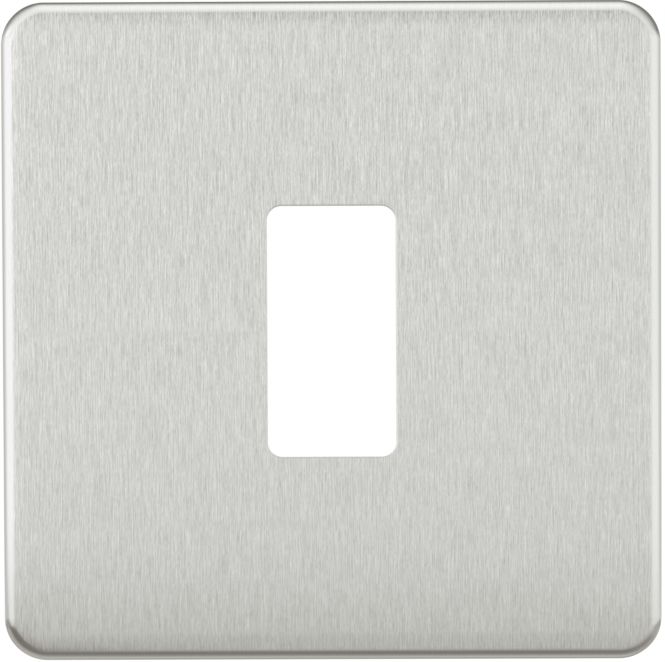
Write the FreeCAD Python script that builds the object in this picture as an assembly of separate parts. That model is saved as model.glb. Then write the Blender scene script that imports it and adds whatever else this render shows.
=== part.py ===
import FreeCAD, Part
import os

from FreeCAD import Vector

# One-gang screwless grid switch plate, pressed from a single sheet of steel.
# The face is flat, with one window for the front of a switch module. All round it the sheet turns back
# through a round bend into a shallow rim whose back edge rests on the wall. Four tabs folded in from
# that edge catch the mounting frame behind the plate, and a notch in the lower rim takes the blade
# that levers the plate off again.
# Millimetres. +X is to the right seen from the front, +Y goes into the wall, +Z is up.
# The origin is the plate's centre on the wall plane.

# Plate
plate_width = 95.0
plate_height = 95.0
plate_depth = 5.0
sheet_thickness = 0.8
corner_radius = 6.2
bend_inside_radius = 0.95

# Window
window_width = 18.5
window_height = 36.1
window_corner_radius = 2.1
window_edge_radius = 0.15

# Clip tabs, two on the upper rim and two on the lower rim
clip_spacing = 48.0
clip_width = 10.0
clip_lip_length = 1.6
clip_bend_inside_radius = 0.4
clip_setback = 0.3
clip_relief_width = 0.9

# Notch in the lower rim
notch_width = 9.0
notch_depth = 1.5
notch_corner_radius = 0.7

# Length by which a cutting tool overruns the surface that it starts from
overrun = 1.0

bend_outside_radius = bend_inside_radius + sheet_thickness
clip_bend_outside_radius = clip_bend_inside_radius + sheet_thickness
clip_relief_depth = clip_setback + clip_bend_outside_radius
front_y = -plate_depth
pocket_y = front_y + sheet_thickness
wall_y = 0.0


def rounded_rectangle(width, height, radius, y):
    """Face with round corners, centred on the Y axis and square to it, at the given depth."""
    right, top = width / 2, height / 2
    inner_right, inner_top = right - radius, top - radius
    bulge = radius * 0.5**0.5

    def at(x, z):
        return Vector(x, y, z)

    def corner(side_x, side_z, start, end):
        middle = at(side_x * (inner_right + bulge), side_z * (inner_top + bulge))
        return Part.Arc(start, middle, end).toShape()

    def side(start, end):
        return Part.LineSegment(start, end).toShape()

    outline = Part.Wire(
        [
            side(at(-inner_right, top), at(inner_right, top)),
            corner(1, 1, at(inner_right, top), at(right, inner_top)),
            side(at(right, inner_top), at(right, -inner_top)),
            corner(1, -1, at(right, -inner_top), at(inner_right, -top)),
            side(at(inner_right, -top), at(-inner_right, -top)),
            corner(-1, -1, at(-inner_right, -top), at(-right, -inner_top)),
            side(at(-right, -inner_top), at(-right, inner_top)),
            corner(-1, 1, at(-right, inner_top), at(-inner_right, top)),
        ]
    )
    return Part.Face(outline)


def edges_at_depth(solid, y, half_width):
    """Edges that lie wholly at one depth and within a half width of the plate's centre."""
    found = []
    for edge in solid.Edges:
        box = edge.BoundBox
        flat = abs(box.YMin - y) < 1e-6 and abs(box.YMax - y) < 1e-6
        if flat and max(-box.XMin, box.XMax) < half_width + 1e-6:
            found.append(edge)
    return found


def pillow_block(width, height, radius, start_y, end_y, edge_radius):
    """Block with round corners whose far edge, at end_y, is rounded over."""
    base = rounded_rectangle(width, height, radius, start_y)
    block = base.extrude(Vector(0, end_y - start_y, 0))
    return block.makeFillet(edge_radius, edges_at_depth(block, end_y, width / 2))


def pressed_tray():
    """The face, the bend and the rim, of one sheet thickness throughout."""
    outside = pillow_block(
        plate_width, plate_height, corner_radius, wall_y, front_y, bend_outside_radius
    )
    inside = pillow_block(
        plate_width - 2 * sheet_thickness,
        plate_height - 2 * sheet_thickness,
        corner_radius - sheet_thickness,
        wall_y + overrun,
        pocket_y,
        bend_inside_radius,
    )
    return outside.cut(inside)


def punch_window(plate):
    """Cuts the window from the front and rolls its front edge over, as the punch does."""
    hole = rounded_rectangle(
        window_width, window_height, window_corner_radius, front_y - overrun
    )
    punch = hole.extrude(Vector(0, sheet_thickness + 2 * overrun, 0))
    plate = plate.cut(punch)
    return plate.makeFillet(
        window_edge_radius, edges_at_depth(plate, front_y, window_width / 2)
    )


def clip_section(x):
    """Section of an upper clip: the rim's sheet turned inward at a right angle, with a flat lip."""
    outer_z = plate_height / 2
    inner_z = outer_z - sheet_thickness
    bend_z = outer_z - clip_bend_outside_radius
    lip_z = bend_z - clip_lip_length
    back_y = wall_y - clip_setback
    bend_y = back_y - clip_bend_outside_radius
    lip_front_y = back_y - sheet_thickness
    slant = 0.5**0.5

    def at(y, z):
        return Vector(x, y, z)

    def bend(radius, start, end):
        middle = at(bend_y + radius * slant, bend_z + radius * slant)
        return Part.Arc(start, middle, end).toShape()

    def run(start, end):
        return Part.LineSegment(start, end).toShape()

    outline = Part.Wire(
        [
            run(at(bend_y, inner_z), at(bend_y, outer_z)),
            bend(clip_bend_outside_radius, at(bend_y, outer_z), at(back_y, bend_z)),
            run(at(back_y, bend_z), at(back_y, lip_z)),
            run(at(back_y, lip_z), at(lip_front_y, lip_z)),
            run(at(lip_front_y, lip_z), at(lip_front_y, bend_z)),
            bend(clip_bend_inside_radius, at(lip_front_y, bend_z), at(bend_y, inner_z)),
        ]
    )
    return Part.Face(outline)


def clip_gap(x):
    """Room cut in the upper rim for one clip and the relief slot at each end of it."""
    width = clip_width + 2 * clip_relief_width
    height = sheet_thickness + 2 * overrun
    corner = Vector(
        x - width / 2,
        wall_y - clip_relief_depth,
        plate_height / 2 - sheet_thickness - overrun,
    )
    return Part.makeBox(width, clip_relief_depth + overrun, height, corner)


def fold_clips(plate):
    """Cuts the rim's back edge for the clips and adds them, above and below."""
    gaps = []
    clips = []
    for side in (-1, 1):
        x = side * clip_spacing / 2
        gap = clip_gap(x)
        clip = clip_section(x - clip_width / 2).extrude(Vector(clip_width, 0, 0))
        gaps += [gap, gap.mirror(Vector(0, 0, 0), Vector(0, 0, 1))]
        clips += [clip, clip.mirror(Vector(0, 0, 0), Vector(0, 0, 1))]
    return plate.cut(gaps).fuse(clips).removeSplitter()


def cut_lever_notch(plate):
    """Notch in the lower rim, open at the wall, with round corners at its closed end."""
    slot = rounded_rectangle(notch_width, 2 * notch_depth, notch_corner_radius, 0)
    slot.rotate(Vector(0, 0, 0), Vector(1, 0, 0), 90)
    slot.translate(Vector(0, wall_y, -plate_height / 2 - overrun))
    return plate.cut(slot.extrude(Vector(0, 0, sheet_thickness + 2 * overrun)))


def face_plate():
    """The whole pressing, as one solid."""
    plate = punch_window(pressed_tray())
    plate = cut_lever_notch(fold_clips(plate))
    return plate.Solids[0]


os.makedirs("parts", exist_ok=True)
solid = face_plate()
solid.exportStep("parts/face_plate.step")
print(f"face_plate valid {solid.isValid()}, volume {solid.Volume:.1f} mm3, faces {len(solid.Faces)}")
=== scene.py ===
import math

import bmesh
import bpy
from mathutils import Matrix, Vector


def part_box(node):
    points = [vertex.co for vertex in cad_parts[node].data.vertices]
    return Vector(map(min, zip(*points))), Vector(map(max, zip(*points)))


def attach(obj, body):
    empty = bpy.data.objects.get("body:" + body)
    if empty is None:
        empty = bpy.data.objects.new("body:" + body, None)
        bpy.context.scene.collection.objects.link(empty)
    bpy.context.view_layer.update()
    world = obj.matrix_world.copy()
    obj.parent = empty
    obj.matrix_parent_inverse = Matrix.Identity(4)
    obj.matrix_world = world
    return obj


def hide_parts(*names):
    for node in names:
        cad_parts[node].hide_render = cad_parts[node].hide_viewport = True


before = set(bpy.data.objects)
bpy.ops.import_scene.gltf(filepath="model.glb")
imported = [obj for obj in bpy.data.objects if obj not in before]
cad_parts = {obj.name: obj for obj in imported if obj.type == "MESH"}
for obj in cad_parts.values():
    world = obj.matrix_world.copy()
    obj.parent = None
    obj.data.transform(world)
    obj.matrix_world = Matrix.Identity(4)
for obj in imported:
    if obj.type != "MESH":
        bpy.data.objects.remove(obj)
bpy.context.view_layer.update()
plateLow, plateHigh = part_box("face_plate")
mm = 0.001
print("frame loaded")


def linear(hexColour):  # sRGB hex to linear red, green, blue and alpha
    channels = [int(hexColour[i:i + 2], 16) / 255 for i in (1, 3, 5)]
    return [c / 12.92 if c <= 0.04045 else ((c + 0.055) / 1.055) ** 2.4 for c in channels] + [1.0]


def addNode(tree, kind, settings=(), links=()):  # a setting is a node property or an input's value
    node = tree.nodes.new(kind)
    for name, value in dict(settings).items():
        if isinstance(name, str) and hasattr(node, name):
            setattr(node, name, value)
        else:
            node.inputs[name].default_value = value
    for name, socket in dict(links).items():
        tree.links.new(socket, node.inputs[name])
    return node


# Pressed plate

plate = {
    "width": plateHigh.x - plateLow.x,
    "height": plateHigh.z - plateLow.z,
    "sheet": 0.8 * mm,
    "corner": 6.2 * mm,
    "cornerSegments": 28,  # also the window's, so that the two outlines pair up corner for corner
    "bend": 1.75 * mm,  # outside of the turned edge
    "bendSegments": 22,
    "leadIn": 2.3 * mm,  # the face leans over a little before the bend starts
    "leadInLean": math.radians(3.5),
    "leadInSegments": 8,
    "windowWidth": 18.5 * mm,
    "windowHeight": 36.1 * mm,
    "windowCorner": 2.1 * mm,
    "windowRoll": 0.4 * mm,  # the punch draws the sheet down beside its cut
    "windowRollLean": math.radians(14),
    "windowRollSegments": 4,
    "clipSpacing": 48.0 * mm,
    "clipWidth": 10.0 * mm,
    "clipLip": 1.6 * mm,
    "clipBend": 1.2 * mm,  # outside of the fold
    "clipBendSegments": 10,
    "clipSetback": 0.3 * mm,
    "clipRelief": 0.9 * mm,
    "notchWidth": 9.0 * mm,
    "notchDepth": 1.5 * mm,
    "notchCorner": 0.7 * mm,
    "notchCornerSegments": 6,
    "edgeBreak": 0.05 * mm,
    "edgeBreakSegments": 2,
    "sharpTurn": math.radians(60),  # a cut edge that turns further than this is broken
    "softTurn": math.radians(30),  # an edge that turns less than this is shaded round
}
brushMap = "brush"  # the plate laid flat, in metres
brushedSide, millSide, cutSide = range(3)  # the plate's finishes, in the order in which it carries them
touching = 0.001 * mm  # points closer than this lie in one place
squareOn = 0.9999  # how much of its normal lies along an axis where a face is square to that axis
deadFlat = 0.99999  # the same, where a face is shaded flat


def cutFaces(bm, faces, point, normal):  # cuts only these faces, and returns all that they become
    edges = {e for f in faces for e in f.edges}
    verts = {v for f in faces for v in f.verts}
    cut = bmesh.ops.bisect_plane(
        bm, geom=[*faces, *edges, *verts], plane_co=point, plane_no=normal, dist=touching)
    return [g for g in cut["geom"] if isinstance(g, bmesh.types.BMFace)]


def insetRings(bm, face, width, count):  # narrow rings of faces just inside a face's outline
    for ring in range(count):
        bmesh.ops.inset_region(
            bm, faces=[face], thickness=width / count, depth=0, use_boundary=True, use_even_offset=True)


def pressTray(bm):  # outer skin of the blank: face, bend and rim, open at the wall
    bmesh.ops.create_cube(bm, size=1.0)
    bmesh.ops.scale(bm, vec=plateHigh - plateLow, verts=bm.verts)
    bmesh.ops.translate(bm, vec=(plateLow + plateHigh) / 2, verts=bm.verts)
    back = [f for f in bm.faces if f.normal.y > squareOn]
    bmesh.ops.delete(bm, geom=back, context="FACES_ONLY")
    upright = [e for e in bm.edges if abs(e.verts[0].co.y - e.verts[1].co.y) > touching]
    bmesh.ops.bevel(
        bm, geom=upright, offset=plate["corner"], offset_type="OFFSET",
        segments=plate["cornerSegments"], profile=0.5, affect="EDGES", material=-1)
    front = next(f for f in bm.faces if f.normal.y < -squareOn)
    bmesh.ops.bevel(
        bm, geom=front.edges[:], offset=plate["bend"], offset_type="OFFSET",
        segments=plate["bendSegments"], profile=0.5, affect="EDGES", material=-1)
    face = max((f for f in bm.faces if f.normal.y < -squareOn), key=lambda f: f.calc_area())
    insetRings(bm, face, plate["leadIn"], plate["leadInSegments"])
    return face


def punchWindow(bm, face):  # swaps the plain face for a flat ring of faces round the window
    outer = face.edges[:]
    bmesh.ops.delete(bm, geom=[face], context="FACES_ONLY")
    roll = plate["windowRoll"]
    size = (plate["windowWidth"] + 2 * roll, plate["windowHeight"] + 2 * roll, 1)
    verts = bmesh.ops.create_grid(bm, x_segments=1, y_segments=1, size=0.5)["verts"]
    bmesh.ops.scale(bm, vec=size, verts=verts)
    bmesh.ops.rotate(bm, cent=(0, 0, 0), matrix=Matrix.Rotation(math.pi / 2, 3, "X"), verts=verts)
    bmesh.ops.translate(bm, vec=(0, plateLow.y, 0), verts=verts)
    bmesh.ops.bevel(
        bm, geom=verts, offset=plate["windowCorner"] + roll, offset_type="OFFSET",
        segments=plate["cornerSegments"], profile=0.5, affect="VERTICES", material=-1)
    reach = (size[0] + size[1]) / 2  # only the window's own points lie this close, along X and Z together
    blank = next(f for f in bm.faces if max(abs(v.co.x) + abs(v.co.z) for v in f.verts) < reach)
    insetRings(bm, blank, roll, plate["windowRollSegments"])
    inner = [e for e in bm.edges if e.is_boundary]
    inner = [e for e in inner if max(abs(v.co.x) + abs(v.co.z) for v in e.verts) < reach]
    bmesh.ops.delete(bm, geom=[blank], context="FACES")
    bmesh.ops.bridge_loops(bm, edges=outer + inner)


def insideBy(position, width, height, corner):  # how far a point lies inside a round-cornered outline
    x = abs(position.x) - width / 2 + corner
    z = abs(position.z) - height / 2 + corner
    return corner - math.hypot(max(x, 0), max(z, 0)) - min(max(x, z), 0)


def drawDown(bm):  # leans the face towards the bend, and its edge into the window
    window = (plate["windowWidth"], plate["windowHeight"], plate["windowCorner"])
    for vert in bm.verts:
        if vert.co.y > plateLow.y + plate["bend"] + touching:
            continue
        fromEdge = insideBy(vert.co, plate["width"], plate["height"], plate["corner"])
        lead = max(plate["leadIn"] + plate["bend"] - fromEdge, 0)
        roll = max(plate["windowRoll"] + insideBy(vert.co, *window), 0)
        vert.co.y += math.tan(plate["leadInLean"]) * lead ** 2 / (2 * plate["leadIn"])
        vert.co.y += math.tan(plate["windowRollLean"]) * roll ** 2 / (2 * plate["windowRoll"])


def foldClips(bm, side):  # two tabs from the upper rim (side 1) or the lower rim (side -1)
    foldY = plateHigh.y - plate["clipSetback"] - plate["clipBend"]
    rim = [f for f in bm.faces if f.normal.z * side > squareOn]
    strips = cutFaces(bm, rim, (0, foldY, 0), (0, 1, 0))
    strips = [f for f in strips if f.calc_center_median().y > foldY]
    inside = plate["clipWidth"] / 2
    outside = inside + plate["clipRelief"]
    for centre in (-plate["clipSpacing"] / 2, plate["clipSpacing"] / 2):
        for edge in (-outside, -inside, inside, outside):
            strips = cutFaces(bm, strips, (centre + edge, 0, 0), (1, 0, 0))
        gone = [f for f in strips if abs(f.calc_center_median().x - centre) < outside]
        strips = [f for f in strips if f not in gone]
        tab = next(f for f in gone if abs(f.calc_center_median().x - centre) < inside)
        hinge = next(e for e in tab.edges if all(abs(v.co.y - foldY) < touching for v in e.verts))
        bmesh.ops.delete(bm, geom=gone, context="FACES")
        foldZ = hinge.verts[0].co.z - side * plate["clipBend"]
        spun = bmesh.ops.spin(
            bm, geom=[hinge, *hinge.verts], cent=(0, foldY, foldZ), axis=(1, 0, 0),
            angle=-side * math.pi / 2, steps=plate["clipBendSegments"], use_merge=False)
        last = [g for g in spun["geom_last"] if isinstance(g, bmesh.types.BMEdge)]
        lip = bmesh.ops.extrude_edge_only(bm, edges=last)["geom"]
        tip = [g for g in lip if isinstance(g, bmesh.types.BMVert)]
        bmesh.ops.translate(bm, vec=(0, 0, -side * plate["clipLip"]), verts=tip)


def cutNotch(bm):  # room in the lower rim for the blade that levers the plate off
    half = plate["notchWidth"] / 2
    endY = plateHigh.y - plate["notchDepth"]
    rim = [f for f in bm.faces if f.normal.z < -squareOn and abs(f.calc_center_median().x) < half]
    rim = cutFaces(bm, rim, (0, endY, 0), (0, 1, 0))
    for x in (-half, half):
        rim = cutFaces(bm, rim, (x, 0, 0), (1, 0, 0))
    middles = {f: f.calc_center_median() for f in rim}
    gone = [f for f in rim if abs(middles[f].x) < half and middles[f].y > endY]
    bmesh.ops.delete(bm, geom=gone, context="FACES")


def joinRims(bm):  # clears the cutting lines from the flat rims and rounds the notch
    for side in (1, -1):
        rim = [f for f in bm.faces if f.normal.z * side > squareOn]
        bmesh.ops.dissolve_faces(bm, faces=rim, use_verts=False)
    half = plate["notchWidth"] / 2
    endY = plateHigh.y - plate["notchDepth"]
    ends = [v for v in bm.verts if abs(v.co.y - endY) < touching and abs(abs(v.co.x) - half) < touching]
    ends = [v for v in ends if v.co.z < plateLow.z + touching]
    bmesh.ops.bevel(
        bm, geom=ends, offset=plate["notchCorner"], offset_type="OFFSET",
        segments=plate["notchCornerSegments"], profile=0.5, affect="VERTICES", material=-1)


def layFlat(position):  # where a point of the outer skin was on the sheet before it was pressed
    flat = []
    for along, edge in ((position.x, plateHigh.x), (position.z, plateHigh.z)):
        start = edge - plate["bend"]
        turn = math.pi / 2 * plate["bend"]
        centreY = plateLow.y + plate["bend"]
        out = abs(along) - start
        if position.y > centreY and out > -plate["clipLip"] - plate["clipBend"]:
            length = start + turn + position.y - centreY
        elif out > 0:
            length = start + plate["bend"] * math.atan2(out, centreY - position.y)
        else:
            length = abs(along)
        flat.append(math.copysign(length, along))
    return flat


def giveThickness(bm):  # the sheet's inner skin and its cut edges, each with a finish of its own
    outside = set(bm.verts)
    bmesh.ops.solidify(bm, geom=bm.faces[:], thickness=plate["sheet"])
    for face in bm.faces:
        kept = sum(v in outside for v in face.verts)
        if kept == len(face.verts):
            face.material_index = brushedSide
        elif kept == 0:
            face.material_index = millSide
        else:
            face.material_index = cutSide


def breakEdges(bm):  # takes the sharpness off every cut edge
    sharp = [e for e in bm.edges if cutSide in [f.material_index for f in e.link_faces]]
    sharp = [e for e in sharp if e.calc_face_angle() > plate["sharpTurn"]]
    broken = bmesh.ops.bevel(
        bm, geom=sharp, offset=plate["edgeBreak"], offset_type="OFFSET",
        segments=plate["edgeBreakSegments"], profile=0.5, affect="EDGES", material=-1, clamp_overlap=True)
    for face in broken["faces"]:
        face.material_index = cutSide


def makePlate():
    bm = bmesh.new()
    face = pressTray(bm)
    punchWindow(bm, face)
    drawDown(bm)
    bm.normal_update()
    foldClips(bm, 1)
    foldClips(bm, -1)
    cutNotch(bm)
    joinRims(bm)
    bmesh.ops.remove_doubles(bm, verts=bm.verts, dist=touching)
    bmesh.ops.recalc_face_normals(bm, faces=bm.faces)
    uvLayer = bm.loops.layers.uv.new(brushMap)
    for face in bm.faces:
        for loop in face.loops:
            loop[uvLayer].uv = layFlat(loop.vert.co)
    giveThickness(bm)
    breakEdges(bm)
    for face in bm.faces:  # flats stay flat, and only bends and rolls are shaded round
        face.smooth = max(abs(c) for c in face.normal) < deadFlat
    for edge in bm.edges:
        edge.smooth = edge.calc_face_angle() < plate["softTurn"]
    mesh = bpy.data.meshes.new("facePlate")
    bm.to_mesh(mesh)
    bm.free()
    return mesh


# Finishes

brushedSteel = {  # stainless sheet with a satin brush: upright streaks that spread light sideways
    "dark": "#b1b2ac",
    "light": "#e7e8e4",
    # size across and along, and share: the finest real marks are a third as wide, too fine to show
    "marks": [
        ((1.60 * mm, 20.0 * mm), 0.045),
        ((0.60 * mm, 16.0 * mm), 0.045),
        ((0.20 * mm, 9.0 * mm), 0.23),
        ((0.19 * mm, 4.0 * mm), 0.28),
        ((0.17 * mm, 1.8 * mm), 0.28),
        ((0.15 * mm, 0.7 * mm), 0.21),
    ],
    "contrast": 2.2,
    # heights between which the streaks grow stronger, and how strongly they mark the sheet below and above
    # them; low on the face the belt marks it less
    "streakStrength": [
        ((-28.0 * mm, 22.0 * mm), (0.8, 1.0)),
        # the streaks are stronger in a band just under the top bend
        ((43.5 * mm, 45.3 * mm), (1.0, 1.5)),
    ],
    "roughness": 0.19,
    "edgeRoughness": 0.20,
    "edgeShare": 0.12,  # how much of the streaks the turned edge keeps
    "edgeTurn": math.radians(13),  # the belt has lost the sheet where it has turned this far
    "anisotropic": 0.93,
    "depth": 0.002 * mm,
}

millSteel = {  # the sheet as it left the rolls: duller, a little cloudy, with faint upright rolling lines
    "dark": "#9c9d99",
    "light": "#b9bab6",
    "marks": [  # size along X, Y and Z, and share
        ((9.0 * mm, 9.0 * mm, 14.0 * mm), 0.35),
        ((0.30 * mm, 3.0 * mm, 12.0 * mm), 0.40),
        ((0.35 * mm, 0.35 * mm, 0.5 * mm), 0.25),
    ],
    "contrast": 1.6,
    "roughness": (0.36, 0.48),
    "depth": 0.003 * mm,
}

cutSteel = {  # punched and sheared edges: bright lines in the tool's direction on torn, greyer metal
    "dark": "#93948f",
    "light": "#c9cac5",
    "marks": [  # size along X, Y and Z, and share
        ((0.12 * mm, 0.9 * mm, 0.12 * mm), 0.6),
        ((0.6 * mm, 0.3 * mm, 0.6 * mm), 0.4),
    ],
    "contrast": 2.0,
    "roughness": (0.26, 0.46),
    "depth": 0.006 * mm,
}


def grainOf(tree, place, look):  # stretched noise layers added up, lying evenly about zero
    total = None
    for size, share in look["marks"]:
        scale = [1 / length for length in (*size, 1)[:3]]
        stretched = addNode(tree, "ShaderNodeMapping", {"Scale": scale}, {"Vector": place})
        mark = addNode(
            tree, "ShaderNodeTexNoise",
            {"noise_dimensions": f"{len(size)}D", "Scale": 1.0, "Detail": 1.0},
            {"Vector": stretched.outputs["Vector"]})
        part = addNode(
            tree, "ShaderNodeMath",
            {"operation": "MULTIPLY_ADD", 1: share, 2: -share / 2},
            {0: mark.outputs["Fac"]})
        if total:
            part = addNode(
                tree, "ShaderNodeMath", {"operation": "ADD"},
                {0: total.outputs["Value"], 1: part.outputs["Value"]})
        total = part
    return total.outputs["Value"]


def paintGrain(tree, grain, look):  # colour and fine relief that follow the grain
    shader = tree.nodes["Principled BSDF"]
    tone = addNode(
        tree, "ShaderNodeMath",
        {"operation": "MULTIPLY_ADD", 1: look["contrast"], 2: 0.5, "use_clamp": True},
        {0: grain})
    colour = addNode(
        tree, "ShaderNodeMix",
        {"data_type": "RGBA", 6: linear(look["dark"]), 7: linear(look["light"])},
        {0: tone.outputs["Value"]})
    relief = addNode(
        tree, "ShaderNodeBump",
        {"Strength": 1.0, "Distance": look["depth"]},
        {"Height": tone.outputs["Value"]})
    shader.inputs["Metallic"].default_value = 1.0
    tree.links.new(colour.outputs[2], shader.inputs["Base Color"])
    tree.links.new(relief.outputs["Normal"], shader.inputs["Normal"])
    return tone.outputs["Value"]


def brushedFinish():
    finish = bpy.data.materials.new("brushedStainlessSteel")
    finish.use_nodes = True
    tree = finish.node_tree
    shader = tree.nodes["Principled BSDF"]
    flat = addNode(tree, "ShaderNodeUVMap", {"uv_map": brushMap})
    surface = addNode(tree, "ShaderNodeTexCoord")
    facing = addNode(tree, "ShaderNodeSeparateXYZ", links={"Vector": surface.outputs["Normal"]})
    onFace = addNode(  # 1 on the face, falling off round the bend, where the brush didn't reach
        tree, "ShaderNodeMapRange",
        {"interpolation_type": "SMOOTHSTEP",
         "From Min": -math.cos(brushedSteel["edgeTurn"]), "From Max": -1.0,
         "To Min": brushedSteel["edgeShare"], "To Max": 1.0},
        {"Value": facing.outputs["Y"]})
    height = addNode(tree, "ShaderNodeSeparateXYZ", links={"Vector": flat.outputs["UV"]})
    strength = onFace
    for (low, high), (below, above) in brushedSteel["streakStrength"]:
        streakStrength = addNode(
            tree, "ShaderNodeMapRange",
            {"interpolation_type": "SMOOTHSTEP",
             "From Min": low, "From Max": high, "To Min": below, "To Max": above},
            {"Value": height.outputs["Y"]})
        strength = addNode(
            tree, "ShaderNodeMath", {"operation": "MULTIPLY"},
            {0: strength.outputs[0], 1: streakStrength.outputs["Result"]})
    grain = addNode(
        tree, "ShaderNodeMath", {"operation": "MULTIPLY"},
        {0: grainOf(tree, flat.outputs["UV"], brushedSteel), 1: strength.outputs["Value"]})
    paintGrain(tree, grain.outputs["Value"], brushedSteel)
    rough = addNode(
        tree, "ShaderNodeMapRange",
        {"From Min": brushedSteel["edgeShare"], "From Max": 1.0,
         "To Min": brushedSteel["edgeRoughness"], "To Max": brushedSteel["roughness"]},
        {"Value": onFace.outputs["Result"]})
    across = addNode(tree, "ShaderNodeTangent", {"direction_type": "UV_MAP", "uv_map": brushMap})
    shader.inputs["Anisotropic"].default_value = brushedSteel["anisotropic"]
    tree.links.new(rough.outputs["Result"], shader.inputs["Roughness"])
    tree.links.new(across.outputs["Tangent"], shader.inputs["Tangent"])
    return finish


def plainFinish(name, look):  # bare steel that no brush has touched
    finish = bpy.data.materials.new(name)
    finish.use_nodes = True
    tree = finish.node_tree
    place = addNode(tree, "ShaderNodeTexCoord")
    tone = paintGrain(tree, grainOf(tree, place.outputs["Object"], look), look)
    smoothest, roughest = look["roughness"]
    rough = addNode(
        tree, "ShaderNodeMapRange", {"To Min": roughest, "To Max": smoothest}, {"Value": tone})
    tree.links.new(rough.outputs["Result"], tree.nodes["Principled BSDF"].inputs["Roughness"])
    return finish


plateMesh = makePlate()
plateMesh.materials.append(brushedFinish())
plateMesh.materials.append(plainFinish("millFinishStainlessSteel", millSteel))
plateMesh.materials.append(plainFinish("punchedStainlessEdge", cutSteel))
plateObject = bpy.data.objects.new("facePlate", plateMesh)
bpy.context.scene.collection.objects.link(plateObject)
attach(plateObject, "root")
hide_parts("face_plate")
print("plate pressed:", len(plateMesh.polygons), "faces")


# Studio

studio = {  # in metres
    "floorDrop": 30 * mm,
    "floorSize": 3.0,
    "floorColour": "#e6e6e6",
    "floorGlow": 0.22,  # brings the paper up to white where it is looked at, straight or in the metal
    "softboxColour": "#f6eeff",
    "softboxes": {  # centre, size and how much brighter than the white surround
        "leftSoftbox": ((-0.395, -0.245, 0.05), (0.70, 0.60), 0.56),
        "rightSoftbox": ((0.416, -0.205, 0.05), (0.60, 0.60), 0.35),
    },
}
floorZ = plateLow.z - studio["floorDrop"]
cardLift = 1 * mm  # the low cards lie in layers this far apart, the first just clear of the floor
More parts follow.
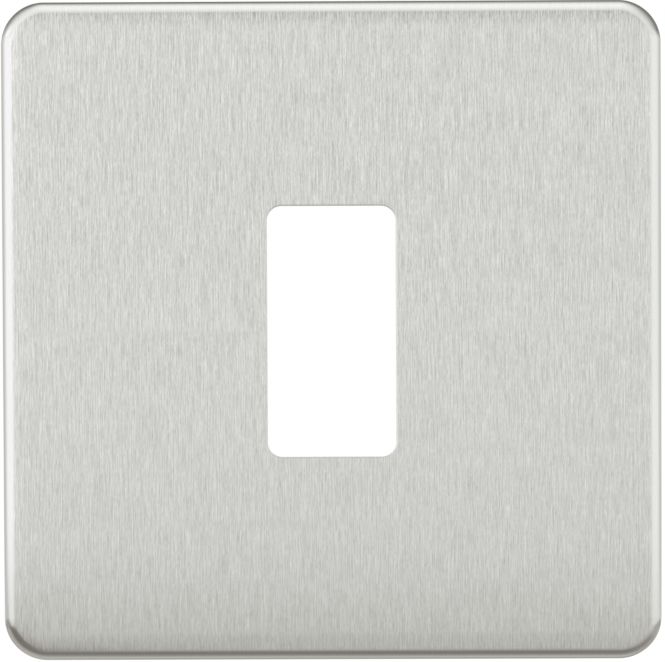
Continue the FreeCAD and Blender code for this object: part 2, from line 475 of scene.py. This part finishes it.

# Glowing cards that only the metal sees and that light nothing: their colours are painted reflections,
# bright bands and dark lines laid into the rim. In metres: centre in X and Z, width at the back and at the
# front, share of the width over which each side thins out, tilt in degrees, brightness, and colours along
# Y, back to front
paintedReflectionCards = {
    # painted reflection along the top rim: a bright band, and a dark line from the card's back end
    "topCard": {
        "centre": (0, 0.35),
        "widths": (2.4, 2.4), "thin": 0.02, "tilt": 0, "strength": 1.5,
        "stops": [
            (1.500, "#736f6c"), (0.290, "#736f6c"), (0.140, "#aeacaa"), (0.098, "#d0cfcf"),
            (0.020, "#f1f0f2"), (-0.042, "#fcfaff"), (-0.160, "#fcfaff"), (-0.405, "#e7e6e7"),
            (-0.730, "#c6c6c4"), (-1.150, "#bababa"), (-2.100, "#c4c4c4"), (-3.200, "#c9c9c9"),
            (-4.500, "#d2d2d2")],
    },
    # painted reflections at the top corners: dark towards the back, bright towards the front
    "topLeftCard": {
        "centre": (-0.188, 0.188),
        "widths": (0.36, 0.22), "thin": 0.35, "tilt": -45, "strength": 1.6,
        "stops": [
            (0.600, "#63605d"), (0.085, "#787572"), (0.026, "#ababa8"), (-0.021, "#c6c5c5"),
            (-0.065, "#d8d6d9"), (-0.113, "#e3e1e5"), (-0.250, "#ebe9ee"), (-0.600, "#fdfbff")],
    },
    "topRightCard": {
        "centre": (0.190, 0.186),
        "widths": (0.40, 0.20), "thin": 0.35, "tilt": 45, "strength": 1.26,
        "stops": [
            (0.600, "#6c6865"), (0.085, "#7c7976"), (0.026, "#a4a19f"), (-0.021, "#c1bfbd"),
            (-0.065, "#d4d3d1"), (-0.113, "#e7e5e7"), (-0.240, "#f8f6fa"), (-0.600, "#f8f6fa")],
    },
    "topLeftFrontCard": {
        "centre": (-0.265, 0.12),
        "widths": (0.22, 0.22), "thin": 0.5, "tilt": -66, "strength": 1.6,
        "stops": [(-0.450, "#f2f0f5"), (-0.750, "#efedf2"), (-1.200, "#cfcfd0")],
    },
    "topRightFrontCard": {
        "centre": (0.275, 0.10),
        "widths": (0.22, 0.22), "thin": 0.5, "tilt": 76, "strength": 1.26,
        "stops": [(-0.450, "#fdfbff"), (-0.750, "#faf8fc"), (-1.200, "#e4e4e5")],
    },
    "leftCard": {
        "centre": (-0.30, 0),
        "widths": (0.6, 0.6), "thin": 0.02, "tilt": 90, "strength": 1.0,
        "stops": [(1.000, "#d8d8d6"), (0.270, "#dcdcda"), (0.130, "#e8e8e7"), (0.060, "#ffffff")],
    },
    "rightCard": {
        "centre": (0.30, 0),
        "widths": (0.6, 0.6), "thin": 0.02, "tilt": 90, "strength": 1.0,
        "stops": [(1.000, "#e0e0de"), (0.270, "#e4e4e2"), (0.130, "#ececeb"), (0.060, "#ffffff")],
    },
    # the low cards are painted shade: grey and dark glow that the lower rim reflects, standing in for the
    # shade under and beside the plate
    "lowBackCard": {
        "centre": (-0.12, floorZ + cardLift),
        "widths": (1.0, 0.56), "thin": 0.15, "tilt": 0, "strength": 1.0,
        "stops": [
            (0.150, "#c0bbb8"), (0.017, "#c0bbb8"), (0.006, "#e4e2e1"), (-0.010, "#aaa6a3"),
            (-0.022, "#938e8b"), (-0.034, "#9c9793"), (-0.048, "#bcb7b4"), (-0.065, "#d0ccca")],
    },
    "lowFrontCard": {
        "centre": (0, floorZ + cardLift),
        "widths": (0.18, 1.6), "thin": 0.02, "tilt": 0, "strength": 1.0,
        "stops": [
            (-0.065, "#d0ccca"), (-0.130, "#dedcdb"), (-0.405, "#e4e3e2"), (-0.420, "#f9f9f9"),
            (-1.500, "#ffffff")],
    },
    "lowLeftCard": {
        "centre": (-0.097, floorZ + 2 * cardLift),
        "widths": (0.120, 0.120), "thin": 0.2, "tilt": 0, "strength": 1.0,
        "stops": [
            (0.150, "#d2cecb"), (0.005, "#d8d4d1"), (-0.004, "#d2cecb"), (-0.010, "#c3bfbc"),
            (-0.016, "#a29e9a"), (-0.022, "#8f8a87"), (-0.090, "#8c8784"), (-0.116, "#a09c98"),
            (-0.145, "#c8c5c2"), (-0.180, "#dfdddb"), (-0.415, "#e4e3e2")],
    },
    "lowLeftDeepCard": {
        "centre": (-0.086, floorZ + 3 * cardLift),
        "widths": (0.066, 0.066), "thin": 0.4, "tilt": 0, "strength": 1.0,
        "stops": [
            (-0.088, "#8c8784"), (-0.140, "#918c89"), (-0.172, "#b0adaa"), (-0.200, "#d2cfcd"),
            (-0.222, "#e0dedd")],
    },
    "lowRightCard": {
        "centre": (0.084, floorZ + 2 * cardLift),
        "widths": (0.074, 0.074), "thin": 0.25, "tilt": 0, "strength": 1.0,
        "stops": [
            (0.150, "#c5c1be"), (0.005, "#c9c5c2"), (-0.004, "#bab6b3"), (-0.013, "#a6a29e"),
            (-0.022, "#a39f9b"), (-0.033, "#b3afab"), (-0.048, "#c8c5c2"), (-0.069, "#d1cecc"),
            (-0.110, "#d9d7d5"), (-0.415, "#e4e3e2")],
    },
    "lowRightRimCard": {
        "centre": (0.112, floorZ + 3 * cardLift),
        "widths": (0.062, 0.062), "thin": 0.3, "tilt": 0, "strength": 1.0,
        "stops": [
            (0.150, "#d2cfcc"), (0.005, "#cfccc9"), (-0.004, "#c6c2bf"), (-0.014, "#c4c0bd"),
            (-0.030, "#d2cfcd"), (-0.050, "#e6e4e3"), (-0.090, "#f0f0ef"), (-0.250, "#f6f6f6")],
    },
}


def addSoftbox(name, place, size, radiance):
    lamp = bpy.data.lights.new(name, "AREA")
    lamp.shape = "RECTANGLE"
    lamp.size, lamp.size_y = size
    lamp.color = linear(studio["softboxColour"])[:3]
    lamp.energy = radiance * math.pi * size[0] * size[1]
    holder = bpy.data.objects.new(name, lamp)
    holder.location = place
    holder.rotation_euler = Vector(place).to_track_quat("Z", "Y").to_euler()  # turned to face the plate
    holder.visible_camera = False
    bpy.context.scene.collection.objects.link(holder)


# A flat sheet from one Y to another, with its centre in X and Z and a width at each end
def addSheet(name, centre, widths, startY, endY, finish, tilt=0):
    bm = bmesh.new()
    bm.loops.layers.uv.new("sheet")
    verts = bmesh.ops.create_grid(bm, x_segments=1, y_segments=1, size=0.5, calc_uvs=True)["verts"]
    for width, side in zip(widths, (1, -1)):
        end = [v for v in verts if v.co.y * side > 0]
        bmesh.ops.scale(bm, vec=(width, startY - endY, 1), verts=end)
    lean = Matrix.Rotation(math.radians(tilt), 3, "Y")
    bmesh.ops.rotate(bm, cent=(0, 0, 0), matrix=lean, verts=verts)
    bmesh.ops.translate(bm, vec=(centre[0], (startY + endY) / 2, centre[1]), verts=verts)
    mesh = bpy.data.meshes.new(name)
    bm.to_mesh(mesh)
    bm.free()
    mesh.materials.append(finish)
    sheet = bpy.data.objects.new(name, mesh)
    bpy.context.scene.collection.objects.link(sheet)
    return sheet


def paintedReflectionFinish(name, look):  # painted reflection: glow that changes colour along Y, stop by stop, and thins out at the sides
    stops = look["stops"]
    finish = bpy.data.materials.new(name)
    finish.use_nodes = True
    tree = finish.node_tree
    tree.nodes.remove(tree.nodes["Principled BSDF"])
    startY, endY = stops[0][0], stops[-1][0]
    place = addNode(tree, "ShaderNodeTexCoord")
    split = addNode(tree, "ShaderNodeSeparateXYZ", links={"Vector": place.outputs["Object"]})
    along = addNode(
        tree, "ShaderNodeMapRange", {"From Min": startY, "From Max": endY}, {"Value": split.outputs["Y"]})
    ramp = addNode(tree, "ShaderNodeValToRGB", links={"Fac": along.outputs["Result"]})
    elements = ramp.color_ramp.elements
    while len(elements) < len(stops):
        elements.new(0.5)
    for element, (y, colour) in zip(elements, stops):
        element.position = (y - startY) / (endY - startY)
        element.color = linear(colour)
    glow = addNode(
        tree, "ShaderNodeEmission", {"Strength": look["strength"]}, {"Color": ramp.outputs["Color"]})
    across = addNode(tree, "ShaderNodeSeparateXYZ", links={"Vector": place.outputs["UV"]})
    inward = addNode(  # 0 at both sides of the card, 0.5 along its middle
        tree, "ShaderNodeMath", {"operation": "PINGPONG", 1: 0.5}, {0: across.outputs["X"]})
    cover = addNode(
        tree, "ShaderNodeMapRange",
        {"interpolation_type": "SMOOTHSTEP", "From Max": look["thin"]},
        {"Value": inward.outputs["Value"]})
    clear = addNode(tree, "ShaderNodeBsdfTransparent")
    card = addNode(
        tree, "ShaderNodeMixShader",
        links={0: cover.outputs["Result"], 1: clear.outputs["BSDF"], 2: glow.outputs["Emission"]})
    tree.links.new(card.outputs["Shader"], tree.nodes["Material Output"].inputs["Surface"])
    return finish


# a card seen only in the metal, casting no light and no shadow: its glow is a painted reflection
def addPaintedReflectionCard(name, look):
    stops = look["stops"]
    paint = paintedReflectionFinish(name + "Paint", look)
    card = addSheet(name, look["centre"], look["widths"], stops[0][0], stops[-1][0], paint, look["tilt"])
    card.visible_camera = False
    card.visible_diffuse = False
    card.visible_shadow = False
    card.visible_transmission = False


def floorFinish():  # matt paper, white wherever it is looked at, and still able to take a shadow
    finish = bpy.data.materials.new("palePaper")
    finish.use_nodes = True
    tree = finish.node_tree
    shader = tree.nodes["Principled BSDF"]
    shader.inputs["Base Color"].default_value = linear(studio["floorColour"])
    shader.inputs["Roughness"].default_value = 1.0
    shader.inputs["Specular IOR Level"].default_value = 0.0
    shader.inputs["Emission Color"].default_value = (1, 1, 1, 1)
    ray = addNode(tree, "ShaderNodeLightPath")
    mirrored = addNode(
        tree, "ShaderNodeMath", {"operation": "MAXIMUM"},
        {0: ray.outputs["Is Glossy Ray"], 1: ray.outputs["Is Transmission Ray"]})
    looked = addNode(
        tree, "ShaderNodeMath", {"operation": "MAXIMUM"},
        {0: ray.outputs["Is Camera Ray"], 1: mirrored.outputs["Value"]})
    lift = addNode(
        tree, "ShaderNodeMath",
        {"operation": "MULTIPLY", 1: studio["floorGlow"]},
        {0: looked.outputs["Value"]})
    tree.links.new(lift.outputs["Value"], shader.inputs["Emission Strength"])
    return finish


floorHalf = studio["floorSize"] / 2
addSheet("floor", (0, floorZ), (2 * floorHalf, 2 * floorHalf), floorHalf, -floorHalf, floorFinish())
for name, look in paintedReflectionCards.items():
    addPaintedReflectionCard(name, look)
for name, (place, size, radiance) in studio["softboxes"].items():
    addSoftbox(name, place, size, radiance)

world = bpy.data.worlds.new("whiteSurround")
world.use_nodes = True
world.node_tree.nodes["Background"].inputs["Color"].default_value = (1, 1, 1, 1)
bpy.context.scene.world = world
print("studio set:", len(paintedReflectionCards), "paintedReflectionCards")

camera = {  # angles in degrees, lens and sensor in millimetres
    "place": (8.29 * mm, -700.0 * mm, 23.77 * mm),
    "yaw": 0.673,
    "pitch": -1.954,
    "roll": 0.244,
    "lens": 261.66,
    "sensor": 36.0,
}
cameraData = bpy.data.cameras.new("camera")
cameraData.sensor_width = camera["sensor"]
cameraData.lens = camera["lens"]
cameraObject = bpy.data.objects.new("camera", cameraData)
turn = (
    Matrix.Rotation(math.radians(camera["yaw"]), 4, "Z")
    @ Matrix.Rotation(math.radians(camera["pitch"]), 4, "X")
    @ Matrix.Rotation(math.radians(camera["roll"]), 4, "Y")
    @ Matrix.Rotation(math.pi / 2, 4, "X"))
cameraObject.matrix_world = Matrix.Translation(camera["place"]) @ turn
bpy.context.scene.collection.objects.link(cameraObject)
bpy.context.scene.camera = cameraObject
bpy.context.scene.view_settings.view_transform = "Standard"
print("camera set")
